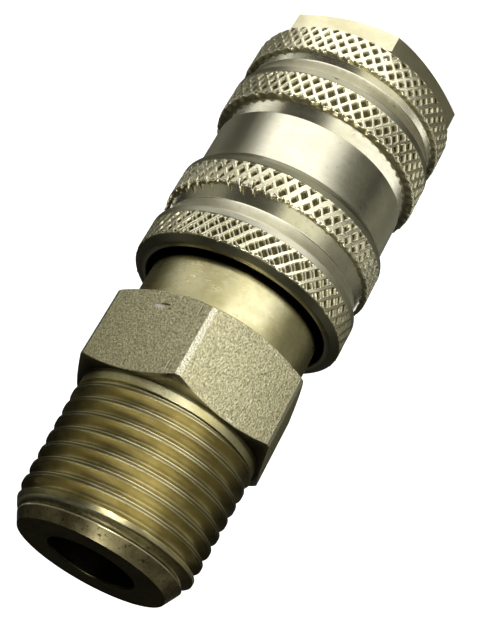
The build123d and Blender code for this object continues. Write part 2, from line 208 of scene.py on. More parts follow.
# The camera stands at an azimuth of -98 degrees. The rings leave a window open on its side and a narrow
# strip of table bare behind the part. Each list is named for the bands that show it or for its place.
round_the_knurls = [
    (-410, 110, 0.0), (-397, 106, 0.7), (-386, 98, 1.0), (-368, 104, 1.0), (-340, 78, 1.0), (-296, 84, 1.0),
    (-290, 84, 0.0), (-266, 84, 0.0), (-260, 84, 1.0), (-229, 92, 1.0), (-201, 90, 1.0), (-181, 116, 1.0),
    (-160, 80, 1.0), (-140, 90, 0.9), (-112, 110, 0.0),
]
round_the_sleeve = [
    (-410, 96, 0.0), (-402, 96, 0.30), (-393, 96, 0.70), (-386, 92, 0.88), (-375, 82, 1.0), (-361, 78, 1.0),
    (-342, 102, 1.0), (-296, 84, 1.0), (-290, 84, 0.0), (-266, 84, 0.0), (-260, 84, 1.0), (-229, 112, 1.0),
    (-198, 110, 1.0), (-184, 116, 1.0), (-171, 96, 1.0), (-160, 68, 1.0), (-150, 88, 1.0), (-132, 102, 1.0),
    (-123, 102, 0.90), (-115, 102, 0.60), (-107, 102, 0.30), (-97, 102, 0.0),
]
round_the_neck = [
    (-408, 120, 0.0), (-401, 120, 0.05), (-393, 120, 0.26), (-386, 120, 0.52), (-376, 118, 0.84),
    (-371, 110, 1.0), (-368, 104, 1.0), (-354, 44, 1.0), (-296, 50, 1.0), (-290, 50, 0.0), (-266, 50, 0.0),
    (-260, 50, 1.0), (-220, 46, 1.0), (-208, 50, 1.0), (-188, 104, 1.0), (-174, 118, 1.0), (-161, 114, 1.0),
    (-150, 114, 0.88), (-140, 114, 0.60), (-130, 114, 0.22), (-122, 114, 0.0),
]
round_the_nose = [(-250, 84, 1.0), (-180, 92, 1.0), (-108, 100, 1.0), (-105, 104, 0.0)]
beside = [(-425, 150, 0.0), (-412, 150, 1.0), (-330, 120, 1.0)]
at_the_horizon = [
    (-215, 143, 1.0), (-185, 152, 1.0), (-160, 124, 1.0), (-150, 150, 1.0), (-142, 200, 1.0),
    (-132, 238, 1.0), (-98, 248, 1.0), (-91, 190, 1.0), (-83, 112, 1.0), (-74, 84, 1.0), (-60, 70, 1.0),
    (-44, 76, 1.0), (-34, 98, 1.0), (-24, 134, 1.0), (-10, 155, 1.0), (10, 120, 1.0),
]
beside_the_window = [
    (-94, 110, 0.0), (-84, 96, 0.8), (-76, 78, 1.0), (-60, 66, 1.0), (-44, 72, 1.0), (-36, 90, 0.0),
]
behind = [(-14, 90, 1.0), (30, 60, 1.0), (50, 16, 1.0), (120, 16, 1.0), (190, 90, 1.0)]
above = [(-180, 36, 1.0), (180, 36, 1.0)]
card("card_under_the_nose", (10.5, 0.08), (18.5, 0.08), round_the_nose)
card("card_round_the_front", (13.5, 0.05), (30.0, 0.05), round_the_knurls)
card("card_round_the_sleeve", (30.0, 0.05), (49.0, 0.05), round_the_sleeve)
card("card_round_the_rear", (49.0, 0.05), (66.0, 0.05), round_the_knurls)
card("card_round_the_neck", (26.0, 21.0), (26.0, 62.0), round_the_neck)
card("card_before_the_front", (50.0, 4.0), (50.0, 12.5), beside_the_window)
card("card_before_the_rear", (84.0, 9.0), (84.0, 27.0), beside_the_window)
card("card_beside", (91.0, 0.05), (258.0, 0.05), beside)
card("card_at_the_horizon", (260.0, 0.0), (260.0, 250.0), at_the_horizon)
card("card_before_the_horizon", (228.0, 0.08), (260.0, 0.08), at_the_horizon)
card("card_behind", (400.0, 0.0), (400.0, 450.0), behind)
card("card_above", (1.0, 400.0), (620.0, 400.0), above)


# Socket body: turned and milled from hexagon bar, steel, plated bright. Its nose is the front hexagon,
# and its barrel, bore and ball holes are inside the sleeve. The CAD solid keeps its shape.
def new_group(name, ins, outs):
    """An empty shader group with its named sockets."""
    group = bpy.data.node_groups.new(name, "ShaderNodeTree")
    for socket, kind, value in ins:
        made = group.interface.new_socket(name=socket, in_out="INPUT", socket_type=kind)
        made.default_value = value
    for socket, kind in outs:
        group.interface.new_socket(name=socket, in_out="OUTPUT", socket_type=kind)
    return group, put(group, "NodeGroupInput").outputs, put(group, "NodeGroupOutput").inputs


def number(tree, operation, first, second=0.0, third=0.0):
    """One step of arithmetic."""
    return put(tree, "ShaderNodeMath", {0: first, 1: second, 2: third}, operation=operation).outputs[0]


def noise(tree, place, scale, detail, roughness=0.5):
    """A cloudy pattern, from about 0 to 1."""
    ins = {"Vector": place, "Scale": scale, "Detail": detail, "Roughness": roughness}
    return put(tree, "ShaderNodeTexNoise", ins).outputs["Fac"]


def between(tree, value, low, high):
    """A mask that goes from 0 to 1 as a value goes from low to high."""
    return put(tree, "ShaderNodeMapRange", {0: value, 1: low, 2: high}).outputs[0]


# Tool marks of a lathe: fine rings round the axis that wander a little, by radius and by height
lathe_marks, given, result = new_group(
    "lathe_marks",
    [("Rings per mm", "NodeSocketFloat", 9.0), ("Wander", "NodeSocketFloat", 0.6)],
    [("Height", "NodeSocketFloat"), ("Streak", "NodeSocketFloat")],
)
place = put(lathe_marks, "ShaderNodeTexCoord").outputs["Object"]
parts = put(lathe_marks, "ShaderNodeSeparateXYZ", {0: place}).outputs
flat_place = put(lathe_marks, "ShaderNodeCombineXYZ", {0: parts[0], 1: parts[1]}).outputs[0]
radius = put(lathe_marks, "ShaderNodeVectorMath", {0: flat_place}, operation="LENGTH").outputs["Value"]
around = put(lathe_marks, "ShaderNodeVectorMath", {0: flat_place}, operation="NORMALIZE").outputs[0]
sides = put(lathe_marks, "ShaderNodeSeparateXYZ", {0: around}).outputs
across_in_mm = number(lathe_marks, "MULTIPLY", number(lathe_marks, "ADD", radius, parts[2]), 1000)
ring_place = put(lathe_marks, "ShaderNodeCombineXYZ", {
    0: number(lathe_marks, "MULTIPLY", across_in_mm, given["Rings per mm"]),
    1: number(lathe_marks, "MULTIPLY", sides[0], given["Wander"]),
    2: number(lathe_marks, "MULTIPLY", sides[1], given["Wander"]),
}).outputs[0]
lathe_marks.links.new(noise(lathe_marks, ring_place, 1.0, 3.0, 0.6), result["Height"])
streaks_per_mm, streak_wander = 2.2, 5.0
streak_place = put(lathe_marks, "ShaderNodeCombineXYZ", {
    0: number(lathe_marks, "MULTIPLY", across_in_mm, streaks_per_mm),
    1: number(lathe_marks, "MULTIPLY", sides[0], streak_wander),
    2: number(lathe_marks, "MULTIPLY", sides[1], streak_wander),
}).outputs[0]
lathe_marks.links.new(noise(lathe_marks, streak_place, 1.0, 4.0, 0.65), result["Streak"])

# Stains and handling of a plated surface: soft clouds, and small specks where the plating is thin
plating_stain, given, result = new_group(
    "plating_stain",
    [("Cloud size mm", "NodeSocketFloat", 4.0), ("Speck size mm", "NodeSocketFloat", 0.5)],
    [("Cloud", "NodeSocketFloat"), ("Speck", "NodeSocketFloat")],
)
place = put(plating_stain, "ShaderNodeTexCoord").outputs["Object"]
cloud_scale = number(plating_stain, "DIVIDE", 1000.0, given["Cloud size mm"])
speck_scale = number(plating_stain, "DIVIDE", 1000.0, given["Speck size mm"])
cloud = noise(plating_stain, place, cloud_scale, 4.0, 0.6)
speck = noise(plating_stain, place, speck_scale, 2.0)
plating_stain.links.new(between(plating_stain, cloud, 0.35, 0.68), result["Cloud"])
plating_stain.links.new(between(plating_stain, speck, 0.60, 0.70), result["Speck"])

# One nick or scratch: a ragged spot of a given size round a given point
nick, given, result = new_group(
    "nick",
    [("Centre", "NodeSocketVector", (0.0, 0.0, 0.0)), ("Reach", "NodeSocketVector", (1.0, 1.0, 1.0))],
    [("Mask", "NodeSocketFloat")],
)
place = put(nick, "ShaderNodeTexCoord").outputs["Object"]
away = put(nick, "ShaderNodeVectorMath", {0: place, 1: given["Centre"]}, operation="SUBTRACT").outputs[0]
away = put(nick, "ShaderNodeVectorMath", {0: away, 1: given["Reach"]}, operation="DIVIDE").outputs[0]
away = put(nick, "ShaderNodeVectorMath", {0: away}, operation="LENGTH").outputs["Value"]
ragged = noise(nick, place, 6000.0, 2.0)
away = number(nick, "ADD", away, number(nick, "MULTIPLY", ragged, 0.7))
nick.links.new(between(nick, away, 1.45, 1.05), result["Mask"])


def use(tree, group, **ins):
    """One of the groups, placed in a material with its own values."""
    node = put(tree, "ShaderNodeGroup", node_tree=group)
    for name, value in ins.items():
        node.inputs[name.replace("_", " ")].default_value = value
    return node.outputs


def nicked(tree, spots):
    """The mask of several nicks, each a centre and a reach in millimetres."""
    mask = 0.0
    for centre, reach in spots:
        spot = use(tree, nick, Centre=[mm * v for v in centre], Reach=[mm * v for v in reach])
        mask = number(tree, "MAXIMUM", spot["Mask"], mask)
    return mask


def blend_colours(tree, mask, first, second):
    """The first colour where the mask is 0 and the second where it is 1."""
    mix = put(tree, "ShaderNodeMix", {0: mask}, data_type="RGBA")
    for socket, colour in ((6, first), (7, second)):
        if isinstance(colour, bpy.types.NodeSocket):
            tree.links.new(colour, mix.inputs[socket])
        else:
            mix.inputs[socket].default_value = colour
    return mix.outputs[2]


def span(tree, value, low, high):
    """A mask from 0 to 1, stretched to run from low to high."""
    return put(tree, "ShaderNodeMapRange", {0: value, 3: low, 4: high}).outputs[0]


def finish_with(tree, end, ins):
    """The metal, rubber or plastic itself, joined to the material's output."""
    surface = put(tree, "ShaderNodeBsdfPrincipled", ins)
    tree.links.new(surface.outputs[0], end.inputs["Surface"])


def turned_plate(name, bright, stained, roughness, ring_depth, rings_per_mm=9.0, ring_wander=0.6,
                 stain_share=0.5, soil=seen(128, 126, 104), bright_nicks=(), dark_nicks=()):
    """Plated steel off the lathe: streaked rings, soft stains and small specks. Where the mesh holds its
    darkening value it takes the darkening colour, painted shade at gaps and corners, and where it has one
    named matte it is rougher."""
    material, tree, end = bare_material(name)
    marks = use(tree, lathe_marks, Rings_per_mm=rings_per_mm, Wander=ring_wander)
    stain = use(tree, plating_stain)
    mask = number(tree, "MULTIPLY", stain["Cloud"], stain_share)
    mask = number(tree, "MAXIMUM", mask, number(tree, "MULTIPLY", stain["Speck"], 0.45))
    mask = number(tree, "ADD", mask, number(tree, "MULTIPLY", marks["Streak"], 0.30))
    tone = blend_colours(tree, mask, bright, stained)
    # The darkening colour where the mesh holds its darkening value: painted shade at gaps and corners, and
    # darker strips
    tone = blend_colours(tree, on_mesh(tree, "soiled"), tone, soil)
    if bright_nicks:
        tone = blend_colours(tree, nicked(tree, bright_nicks), tone, seen(255, 252, 236))
    if dark_nicks:
        tone = blend_colours(tree, nicked(tree, dark_nicks), tone, seen(92, 84, 56))
    rough = span(tree, marks["Streak"], roughness - 0.06, roughness + 0.10)
    rougher = number(tree, "MULTIPLY", on_mesh(tree, "matte"), 0.26)
    bump = put(tree, "ShaderNodeBump", {
        "Height": marks["Height"], "Strength": 0.35, "Distance": ring_depth * mm,
    })
    finish_with(tree, end, {
        "Base Color": tone,
        "Metallic": 1.0,
        "Roughness": number(tree, "ADD", rough, rougher),
        "Normal": bump.outputs[0],
    })
    return material


def dress(node, material):
    """Gives a CAD node its material and leaves its mesh as it is."""
    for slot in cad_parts[node].material_slots:
        slot.link = "OBJECT"
        slot.material = material


body_plate = turned_plate("body_plate", bright=seen(236, 230, 200), stained=seen(196, 188, 152),
                          roughness=0.34, ring_depth=0.012)
dress("socket_body", body_plate)

# Seals and backup ring: moulded nitrile O-rings at the mouth, on the poppet and on the body's tail, and a
# plain plastic ring in front of the mouth's. They lie in turned grooves and keep the CAD solids' shapes.
def moulded(name, colour, pale, roughness, grain_mm):
    """Rubber or plastic from a mould, with a fine grain and a dusty bloom."""
    material, tree, end = bare_material(name)
    stain = use(tree, plating_stain, Cloud_size_mm=3.0, Speck_size_mm=grain_mm)
    bump = put(tree, "ShaderNodeBump", {"Height": stain["Speck"], "Strength": 0.2, "Distance": 0.01 * mm})
    finish_with(tree, end, {
        "Base Color": blend_colours(tree, number(tree, "MULTIPLY", stain["Cloud"], 0.5), colour, pale),
        "Roughness": span(tree, stain["Cloud"], roughness - 0.05, roughness + 0.1),
        "Normal": bump.outputs[0],
    })
    return material


seal_rubber = moulded("seal_rubber", colour=seen(30, 30, 31), pale=seen(58, 58, 57),
                      roughness=0.5, grain_mm=0.15)
backup_plastic = moulded("backup_plastic", colour=seen(226, 224, 214), pale=seen(200, 197, 184),
                         roughness=0.45, grain_mm=0.3)
for seal in ("mouth_seal", "body_seal", "poppet_seal"):
    dress(seal, seal_rubber)
dress("backup_ring", backup_plastic)

# Locking balls: eight hardened steel balls, an eighth of an inch across, ground and polished. They lie in
# the body's radial holes, where the sleeve's land holds them in.
ball_steel = turned_plate("ball_steel", bright=seen(222, 222, 218), stained=seen(190, 190, 184),
                          roughness=0.14, ring_depth=0.002, rings_per_mm=14.0, ring_wander=1.5,
                          stain_share=0.3)
for ball in range(1, 9):
    dress(f"ball_{ball}", ball_steel)

# Washers of the sleeve spring: stamped from steel strip. One lies behind the sleeve's land, so that the
# sleeve can turn freely, and the other on the front face of the adapter.
washer_steel = turned_plate("washer_steel", bright=seen(190, 188, 178), stained=seen(140, 136, 120),
                            roughness=0.38, ring_depth=0.01, rings_per_mm=5.0, ring_wander=2.0)
for ring in ("thrust_washer", "spring_seat_washer"):
    dress(ring, washer_steel)


# Sleeve spring and valve spring: wound from round music wire, both ends ground flat. The sleeve spring
# pushes the sleeve towards the nose, and the valve spring pushes the poppet onto its seat.
def surface_of(name, points, closed=False, ring=True, values=None):
    """A mesh over rows of points; closed joins the last row to the first, and ring the last column."""
    rows, columns = points.shape[:2]
    index = np.arange(rows * columns).reshape(rows, columns)
    below = index if closed else index[:-1]
    above = np.roll(index, -1, 0) if closed else index[1:]
    quads = np.stack([below, np.roll(below, -1, 1), np.roll(above, -1, 1), above], -1)
    quads = (quads if ring else quads[:, :-1]).reshape(-1, 4)
    flat = points.reshape(-1, 3)
    sides = flat[quads]
    first = np.cross(sides[:, 1] - sides[:, 0], sides[:, 2] - sides[:, 0])
    second = np.cross(sides[:, 2] - sides[:, 0], sides[:, 3] - sides[:, 0])
    quads = quads[np.abs(first).sum(1) + np.abs(second).sum(1) > 1e-14]
    mesh = bpy.data.meshes.new(name)
    mesh.from_pydata((flat * mm).tolist(), [], quads.tolist())
    for title, value in (values or {}).items():
        on_points = mesh.attributes.new(title, "FLOAT", "POINT")
        on_points.data.foreach_set("value", value.reshape(-1).astype(np.float32))
    welded = bmesh.new()
    welded.from_mesh(mesh)
    bmesh.ops.remove_doubles(welded, verts=welded.verts, dist=2e-7)
    bmesh.ops.delete(welded, geom=[v for v in welded.verts if not v.link_faces], context="VERTS")
    welded.to_mesh(mesh)
    welded.free()
    return mesh


def piece_of(name, mesh, material, body, nodes, crease=38.0):
    """A piece of the part: shaded smooth up to its creases, riding on its body in place of its CAD nodes."""
    mesh.validate()
    mesh.polygons.foreach_set("use_smooth", [True] * len(mesh.polygons))
    mesh.set_sharp_from_angle(angle=radians(crease))
    mesh.materials.append(material)
    piece = bpy.data.objects.new(name, mesh)
    scene.collection.objects.link(piece)
    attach(piece, body)
    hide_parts(*nodes)
    return piece


def wound_spring(name, node, turns, wire, material):
    """A compression spring as long and as wide as its CAD solid, cut off flat at both ends."""
    steps_per_turn, wire_sides = 40, 14
    low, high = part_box(node)
    bottom, top = low.z / mm, high.z / mm
    coil_radius = (high.x - low.x) / mm / 2 - wire / 2
    steps = int(turns * steps_per_turn)
    turn = np.linspace(0, 2 * pi * turns, steps + 1)[:, None]
    round_wire = np.linspace(0, 2 * pi, wire_sides, endpoint=False)[None, :]
    out = coil_radius + wire / 2 * np.cos(round_wire)
    height = np.linspace(bottom, top, steps + 1)[:, None] + wire / 2 * np.sin(round_wire)
    points = np.stack([out * np.cos(turn), out * np.sin(turn), np.clip(height, bottom, top)], -1)
    return piece_of(name, surface_of(name, points[:, ::-1]), material, "coupling_body", [node], 60)


spring_wire = turned_plate("spring_wire", bright=seen(176, 174, 166), stained=seen(120, 116, 104),
                           roughness=0.30, ring_depth=0.006, rings_per_mm=4.0, ring_wander=3.0)
sleeve_spring = wound_spring("coiled_sleeve_spring", "sleeve_spring", turns=9.0, wire=0.80,
                             material=spring_wire)
valve_spring = wound_spring("coiled_valve_spring", "valve_spring", turns=8.0, wire=0.80,
                            material=spring_wire)
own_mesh(sleeve_spring)
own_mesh(valve_spring)


# Release sleeve: turned from steel, with four knurled bands, deep grooves between them and a smooth
# middle band, plated bright. The smooth parts are one turned shell; its bore has the ramp for the balls.
def eased(profile, radius, steps=3):
    """A turned outline with each corner rounded, as (radius, height) points."""
    profile = [np.array(p, float) for p in profile]
    points = []
    for before, corner, after in zip(profile[-1:] + profile[:-1], profile, profile[1:] + profile[:1]):
        back, ahead = before - corner, after - corner
        back_length, ahead_length = np.linalg.norm(back), np.linalg.norm(ahead)
        cut = min(radius, 0.40 * back_length, 0.40 * ahead_length)
        back, ahead = back / back_length, ahead / ahead_length
        points.append(corner + back * cut * 1.25)
        for step in np.linspace(0, 1, steps + 1):
            points.append(corner + back * cut * (1 - step) ** 2 + ahead * cut * step ** 2)
        points.append(corner + ahead * cut * 1.25)
    return points


def turned(profile, columns):
    """Rows of points of an outline turned about the axis."""
    profile = np.array(profile)
    turns = np.linspace(0, 2 * pi, columns, endpoint=False)
    out, up = profile[:, :1], profile[:, 1:]
    return np.stack([out * np.cos(turns), out * np.sin(turns), up + 0 * turns[None, :]], -1)


def flare(low, high, foot, top):
    """A groove's rear side, off a round-nosed tool: it leaves the floor gently and steepens outward."""
    shares = np.linspace(0, 1, 8)[1:-1]
    side = [(foot + (top - foot) * s**1.6, low + (high - low) * s) for s in shares]
    return [(foot, low), *side, (top, high)]


grip = 12.90
under_knurl = 12.46
smooth_band = 11.93
skirt_bore, spring_chamber, land = 11.05, 10.45, 9.47
sleeve_outline = [
    # front face, and the first band and groove
    (10.62, 3.38), (12.60, 3.38), (12.48, 7.00), (12.23, 7.09), *flare(7.95, 10.12, 11.90, grip),
    # second band and the step behind it
    (grip, 10.89), (under_knurl, 10.93), (under_knurl, 14.25), (11.92, 14.34), (11.40, 16.29),
    # smooth band and the ramp behind it
    (smooth_band, 16.29), (smooth_band, 22.74), (grip, 23.84),
    # third band and groove
    (grip, 24.59), (under_knurl, 24.63), (under_knurl, 27.60), (12.40, 27.69), (11.95, 29.36),
    *flare(29.44, 31.34, 11.96, grip),
    # fourth band and the skirt's rim
    (grip, 32.14), (under_knurl, 32.18), (under_knurl, 35.10), (12.86, 35.27), (11.97, 35.89), (11.25, 35.89),
    # skirt's bore, spring chamber, land and the foot of the ball ramp
    (skirt_bore, 35.69), (skirt_bore, 26.0), (spring_chamber, 26.0), (spring_chamber, 13.2), (land, 13.2),
    (land, 8.75),
]
sleeve_plate = turned_plate(
    "sleeve_plate", bright=seen(240, 236, 214), stained=seen(196, 190, 160), roughness=0.16,
    ring_depth=0.004, rings_per_mm=7.0, ring_wander=0.8, stain_share=0.35,
    bright_nicks=[((-5.40, -11.05, 8.50), (0.40, 0.40, 0.13))],
    dark_nicks=[((-6.13, -10.66, 8.56), (0.36, 0.36, 0.17)), ((1.00, -12.86, 10.27), (0.30, 0.30, 0.09))],
)
shell_columns = 360
sleeve_points = eased(sleeve_outline, 0.10)
out, up = np.array(sleeve_points).T
# Ramps, rim strips and the skirt's chamfer, painted darker: from and to along the axis, how dark and how
# matte
darker_strips = [
    (8.00, 10.08, 0.00, 1.00), (10.08, 10.92, 0.72, 0.60), (22.80, 24.62, 1.00, 0.60),
    (29.50, 31.32, 0.00, 1.00), (31.32, 32.17, 0.28, 0.60), (35.20, 35.95, 0.90, 0.50),
]
soiled, matte = 0 * out, 0 * out
for low, high, darker_share, matte_share in darker_strips:
    strip = (up > low) & (up < high) & (out > 11.80)
    soiled[strip], matte[strip] = darker_share, matte_share
# The skirt's bore by the rim is painted fully dark: painted shade in the gap round the neck
in_skirt = (out < skirt_bore + 0.17) & (up > 30.0)
soiled[in_skirt] = 1.0
sleeve_values = {
    "soiled": np.repeat(soiled[:, None], shell_columns, 1),
    "matte": np.repeat(matte[:, None], shell_columns, 1),
}
sleeve_rows = turned(sleeve_points, shell_columns)
sleeve_mesh = surface_of("sleeve_shell", sleeve_rows, closed=True, values=sleeve_values)
piece_of("sleeve_shell", sleeve_mesh, sleeve_plate, "sleeve", ["release_sleeve"])

# Knurled bands of the sleeve: rolled in with two toothed wheels, so that ridges cross round small sunk
# diamonds. Each band came out a little different, and the metal flowed over its rear edge.
def ridge(distance, half_width, slope):
    """1 on a ridge's flat top, falling to 0 beside it; the distance is in ridge spacings."""
    t = np.clip((distance - half_width) / slope, 0, 1)
    return 1 - t * t * (3 - 2 * t)


ridges_around = 53
points_per_ridge = 20
row_height = 0.080
front_foot, wall_radius, wall_top = 12.40, 12.60, 12.72
worn_side = radians(-108)


def knurled_band(name, low, high, foot, rise, phase, rising, falling, lip, depth, doubled=0.0, start_edge=0.0,
                 skew=0.0, uneven_by=0.03, spikes=0.0, seed=1):
    """One knurled band with the wall at its rear edge. The ridges that rise and that fall have a width and
    a slope each, in ridge spacings. A doubled one has a second line beside it, and spikes are burrs."""
    columns = ridges_around * points_per_ridge
    rows = int(round((high - low) / row_height)) + 1
    turns = np.linspace(0, 2 * pi, columns, endpoint=False)
    t, z = np.meshgrid(turns, np.linspace(low, high, rows))
    chance = np.random.default_rng(seed)
    waves = [(int(chance.integers(2, 40)), chance.uniform(0, 2 * pi)) for _ in range(12)]
    cells = chance.uniform(-1, 1, (ridges_around, ridges_around))
    uneven = sum(np.sin(n * t + p + 0.9 * z) / sqrt(n + 1) for n, p in waves)
    # the two sets of ridges, with small differences from pit to pit
    along = ridges_around * t / (2 * pi) + uneven_by * uneven
    steps = (high - z) / (2 * rise)
    up = along + steps + phase + np.clip((z - low) / (high - low), 0, 1) * skew
    down = along - steps + phase
    cell = cells[(np.floor(up) % ridges_around).astype(int), (np.floor(down) % ridges_around).astype(int)]
    height = ridge(np.abs(up - np.round(up)), rising[0] * (1 + 0.5 * uneven_by * 10 * cell), rising[1])
    cross = ridge(np.abs(down - np.round(down)), *falling)
    if doubled:
        second = ridge(np.abs(down - doubled - np.round(down - doubled)), *falling)
        cross = 0.93 * np.maximum(cross, second)
    height = np.maximum(height, cross)
    # the edge of the last pits: scalloped, ragged, and in places drawn out into burrs
    column = ridges_around * turns / (2 * pi) + phase
    ragged = sum(np.sin(3 * n * turns + p) for n, p in waves) * 0.4 * uneven_by
    edge = high - 0.5 * lip * np.cos(2 * pi * column) + ragged
    torn = np.clip(np.sin(turns - worn_side) * 2.2, 0, 1)
    burr = ridge(np.abs(column - np.round(column)), 0.02, 0.12) * torn
    burr = burr * spikes * (0.75 + 0.5 * np.sin(5 * column))
    z = low + (z - low) * (edge + burr - low) / (high - low)
    past = np.clip((z - edge) / 0.3, 0, 1)
    lean = -0.045 * np.clip(z - high, 0, 2) * (spikes > 0)
    # both edges of the band stay as high as the ridges, and the pits go down between them
    rim = 1 - np.clip((edge + burr - z) / 0.24, 0, 1) ** 2
    front = 1 - np.clip((z - low) / 0.16, 0, 1) ** 2
    height = np.maximum(np.maximum(height, past), np.maximum(rim, front))
    radius = grip + 0.012 * uneven * (height > 0.5) - depth * (1 + 0.25 * cell) * (1 - height)
    if start_edge:
        radius = np.minimum(radius, grip - start_edge + (z - low))
    radius = radius - 0.11 * np.clip(1 - (edge + burr - z) / 0.13, 0, 1) ** 2 - 0.10 * past
    # the wall from the rear edge down to the groove or the step
    wall = [
        (wall_top, edge + burr + 0.015), (wall_radius, edge + burr - 0.01),
        (0.5 * (wall_radius + foot), 0.5 * (edge + high)),
        (foot + 0.12, high + 0.02), (foot - 0.03, high + 0.07),
    ]
    across = np.concatenate([[np.full(columns, front_foot)], radius, [np.full(columns, r) for r, _ in wall]])
    upward = np.concatenate([[np.full(columns, low + 0.04)], z, [h + 0 * turns for _, h in wall]])
    turned_by = turns + np.concatenate([lean[:1], lean, np.repeat(lean[-1:], 2, 0), np.zeros((3, columns))])
    points = np.stack([across * np.cos(turned_by), across * np.sin(turned_by), upward], -1)
    crest = np.concatenate([np.zeros((1, columns)), height, np.full((5, columns), 0.4)], 0)
    return surface_of(name, points, values={"ridge": crest})


# The pits are painted dark and the ridges light: painted shade in the pits and painted highlight on the
# ridges, with specks of thin plating
knurl_plate, tree, end = bare_material("knurl_plate")
crest = on_mesh(tree, "ridge")
stain = use(tree, plating_stain, Cloud_size_mm=3.0, Speck_size_mm=0.35)
highlight_and_wear = number(tree, "SUBTRACT", crest, number(tree, "MULTIPLY", stain["Speck"], 0.25))
knurl_bump = put(tree, "ShaderNodeBump", {"Height": stain["Cloud"], "Strength": 0.3, "Distance": 0.03 * mm})
finish_with(tree, end, {
    "Base Color": blend_colours(tree, highlight_and_wear, seen(84, 76, 48), seen(252, 247, 214)),
    "Metallic": 1.0,
    "Roughness": span(tree, crest, 0.42, 0.26),
    "Normal": knurl_bump.outputs[0],
})

knurls = [
    knurled_band("front_knurl", low=3.38, high=7.09, foot=12.18, rise=0.85, phase=0.10, rising=(0.15, 0.19),
                 falling=(0.15, 0.19), lip=0.16, depth=0.28, start_edge=0.20, uneven_by=0.04, seed=3),
    knurled_band("second_knurl", low=10.89, high=14.34, foot=11.90, rise=0.95, phase=0.32,
                 rising=(0.12, 0.18), falling=(0.12, 0.18), lip=0.22, depth=0.30, seed=5),
    knurled_band("third_knurl", low=24.59, high=27.69, foot=12.40, rise=0.98, phase=0.20, rising=(0.19, 0.17),
                 falling=(0.15, 0.17), lip=0.10, depth=0.32, skew=0.25, uneven_by=0.06, spikes=0.75, seed=8),
    knurled_band("rear_knurl", low=32.14, high=35.24, foot=12.70, rise=0.92, phase=0.45, rising=(0.14, 0.12),
                 falling=(0.05, 0.085), lip=0.06, depth=0.32, doubled=0.36, uneven_by=0.05, seed=11),
]
for band in knurls:
    piece_of(band.name, band, knurl_plate, "sleeve", ["release_sleeve"], 75)

# Valve: a turned steel poppet with its seal and a spoked steel guide behind it. The CAD solids keep
# their shapes; they are seen only through the bore and the thread end.
valve_steel = turned_plate("valve_steel", bright=seen(170, 166, 148), stained=seen(120, 114, 92),
                           roughness=0.36, ring_depth=0.012)
dress("valve_poppet", valve_steel)
dress("valve_guide", valve_steel)

# Adapter: turned from hexagon bar, steel, plated in yellow chromate. Its neck, collar, end face and
# passage are one turned shell; the wrench hexagon and the thread are fitted over it.
neck, collar, passage = 10.34, 10.57, 5.0
neck_outline = [
    # neck, with rows close together where the painted shade of the gap ends
    (9.00, 29.0), (10.09, 29.0), (neck, 29.25), (neck, 36.30), (neck, 36.62), (neck, 36.95), (neck, 42.6),
    # collar, and the core under the thread
    (collar, 51.3), (collar, 53.13), (10.12, 53.15), (10.12, 53.45), (9.0, 53.6), (8.3, 60.0), (8.3, 68.4),
    # end face, passage and the socket for the body's tail
    (8.664, 69.0), (5.15, 69.0), (passage, 68.85), (passage, 42.40), (6.95, 40.45), (8.20, 40.45),
    (8.20, 36.0), (9.00, 36.0),
]
# Its darkening colour is near black, for painted shade and a painted dark reflection
neck_plate = turned_plate("neck_plate", bright=seen(238, 231, 188), stained=seen(186, 174, 118),
                          roughness=0.27, ring_depth=0.030, rings_per_mm=7.0, ring_wander=6.0,
                          stain_share=0.7, soil=seen(22, 18, 8))
neck_points = eased(neck_outline, 0.07)
out, up = np.array(neck_points).T
# How dark each place is painted: the neck below the sleeve's rim and the passage as painted shade, the end
# face as a painted dark reflection
near_gap, in_passage, on_end_face = np.interp(up, (36.25, 36.75), (0.98, 0.0)), 0.96, 0.45
soiled = np.where(out > 9.5, near_gap, 0.0)
soiled = np.where((out < passage + 0.12) & (up > 41.0), in_passage, np.where(up > 68.9, on_end_face, soiled))
neck_values = {"soiled": np.repeat(soiled[:, None], shell_columns, 1)}
neck_mesh = surface_of("adapter_shell", turned(neck_points, shell_columns), closed=True, values=neck_values)
piece_of("adapter_shell", neck_mesh, neck_plate, "coupling_body", ["adapter"])

# Wrench hexagon of the adapter: the bar's own drawn flats, with a grainy skin under the plating, and
# both ends chamfered on the lathe, which leaves a curved edge on each flat.
hex_flat = 11.11
hex_corner_round = 0.60
hex_low, hex_high = 41.75, 52.08
hex_face = 10.95
hex_foot, hex_top = 10.2, 10.3
chamfer_slope = tan(radians(28))
round_half = atan2(hex_flat * tan(radians(30)) - hex_corner_round * tan(radians(30)), hex_flat)
flat_turns = round_half * np.array([-1, -0.985, -0.93, -0.7, -0.35, 0, 0.35, 0.7, 0.93, 0.985, 1])
arc_turns = np.linspace(round_half, radians(60) - round_half, 10)[1:-1]
side_turns = np.concatenate([flat_turns, arc_turns])
bevel_radius = hex_flat / cos(round_half) * cos(radians(30) - round_half)
side_radius = np.concatenate([hex_flat / np.cos(flat_turns), bevel_radius / np.cos(arc_turns - radians(30))])
hex_turns = np.concatenate([side_turns + radians(60 * side) for side in range(6)])
hex_radius = np.tile(side_radius, 6)
level = 0 * hex_turns
chamfer_rise = (hex_radius - hex_face) * chamfer_slope
hex_rows = [(hex_foot + level, hex_low + level), (hex_face + level, hex_low + level)]
for share in (0.5, 0.96):
    hex_rows.append((hex_face + (hex_radius - hex_face) * share, hex_low + chamfer_rise * share))
low_crease, high_crease = hex_low + chamfer_rise, hex_high - chamfer_rise
for share in (0.004, 0.012, *np.linspace(0.05, 0.95, 9), 0.988, 0.996):
    hex_rows.append((hex_radius, low_crease + (high_crease - low_crease) * share))
for share in (0.96, 0.5):
    hex_rows.append((hex_face + (hex_radius - hex_face) * share, hex_high - chamfer_rise * share))
hex_rows += [(hex_face + level, hex_high + level), (hex_top + level, hex_high + level)]
hex_points = np.stack([np.stack([r * np.cos(hex_turns), r * np.sin(hex_turns), z], -1) for r, z in hex_rows])

